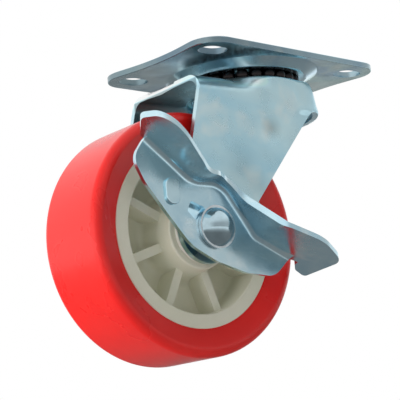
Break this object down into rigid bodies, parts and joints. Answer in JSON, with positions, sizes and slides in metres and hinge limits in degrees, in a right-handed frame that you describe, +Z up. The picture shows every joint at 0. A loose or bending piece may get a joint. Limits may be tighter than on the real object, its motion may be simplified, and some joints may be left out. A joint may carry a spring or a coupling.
{
  "type": "swivel castor",
  "caption": "Plate-mounted swivel castor with a side foot brake: pressed zinc-plated fork on a double ball race, red tread on a cream spoked wheel centre.",
  "frame": {"origin": "on the swivel axis, level with the top face of the mounting plate, at the centre of its four slots", "axes": "+Z up out of the plate's top face, X along the plate's long side, the wheel trails towards -X and the brake lever is on the -Y side"},
  "size_m": [0.1331, 0.083, 0.1123],
  "materials": {
    "zinc_plate": "bright zinc plating on pressed steel, faint blue tint",
    "zinc_fork": "bright zinc plating on pressed steel, satin",
    "zinc_lever": "bright zinc plating on pressed steel, glossier than the fork",
    "zinc_turned": "zinc plating on turned or stamped steel",
    "bright_bolt": "bright plated domed head",
    "plain_steel": "plain steel",
    "ball_steel": "polished bearing balls, greased",
    "nylon": "natural nylon",
    "cream_plastic": "moulded polypropylene, cream, satin",
    "red_tread": "cast polyurethane, red, glossy"
  },
  "bodies": {
    "plate": {"top_plate": "zinc_plate", "king_pin": "zinc_turned", "lower_race": "zinc_plate"},
    "yoke": {"fork": "zinc_fork", "axle_bolt": "bright_bolt", "head_washer": "zinc_turned", "nut_washer": "zinc_turned", "axle_nut": "zinc_turned", "nut_insert": "nylon", "axle_sleeve": "plain_steel", "thrust_washer_near": "plain_steel", "thrust_washer_far": "plain_steel"},
    "wheel": {"wheel_rim": "cream_plastic", "tread": "red_tread", "hub_bush_near": "nylon", "hub_bush_far": "nylon"},
    "lever": {"brake_lever": "zinc_lever"},
    "upper_race_balls": {"upper_balls": "ball_steel"},
    "lower_race_balls": {"lower_balls": "ball_steel"}
  },
  "joints": [
    {"name": "swivel", "type": "hinge", "parent": "plate", "child": "yoke", "pos_m": [0, 0, 0], "axis": [0, 0, 1], "continuous": true},
    {"name": "wheel_spin", "type": "hinge", "parent": "yoke", "child": "wheel", "pos_m": [-0.04113, 0.00371, -0.0678], "axis": [0.0898, 0.996, 0], "continuous": true},
    {"name": "brake_tilt", "type": "hinge", "parent": "yoke", "child": "lever", "pos_m": [-0.04113, 0.00371, -0.0678], "axis": [-0.0898, -0.996, 0], "range_deg": [0, 30]},
    {"name": "upper_balls_roll", "type": "hinge", "parent": "plate", "child": "upper_race_balls", "pos_m": [0, 0, 0], "axis": [0, 0, 1], "continuous": true},
    {"name": "lower_balls_roll", "type": "hinge", "parent": "plate", "child": "lower_race_balls", "pos_m": [0, 0, 0], "axis": [0, 0, 1], "continuous": true}
  ],
  "couplings": [
    {"joint": "upper_balls_roll", "follows": "swivel", "ratio": 0.5},
    {"joint": "lower_balls_roll", "follows": "swivel", "ratio": 0.5}
  ]
}
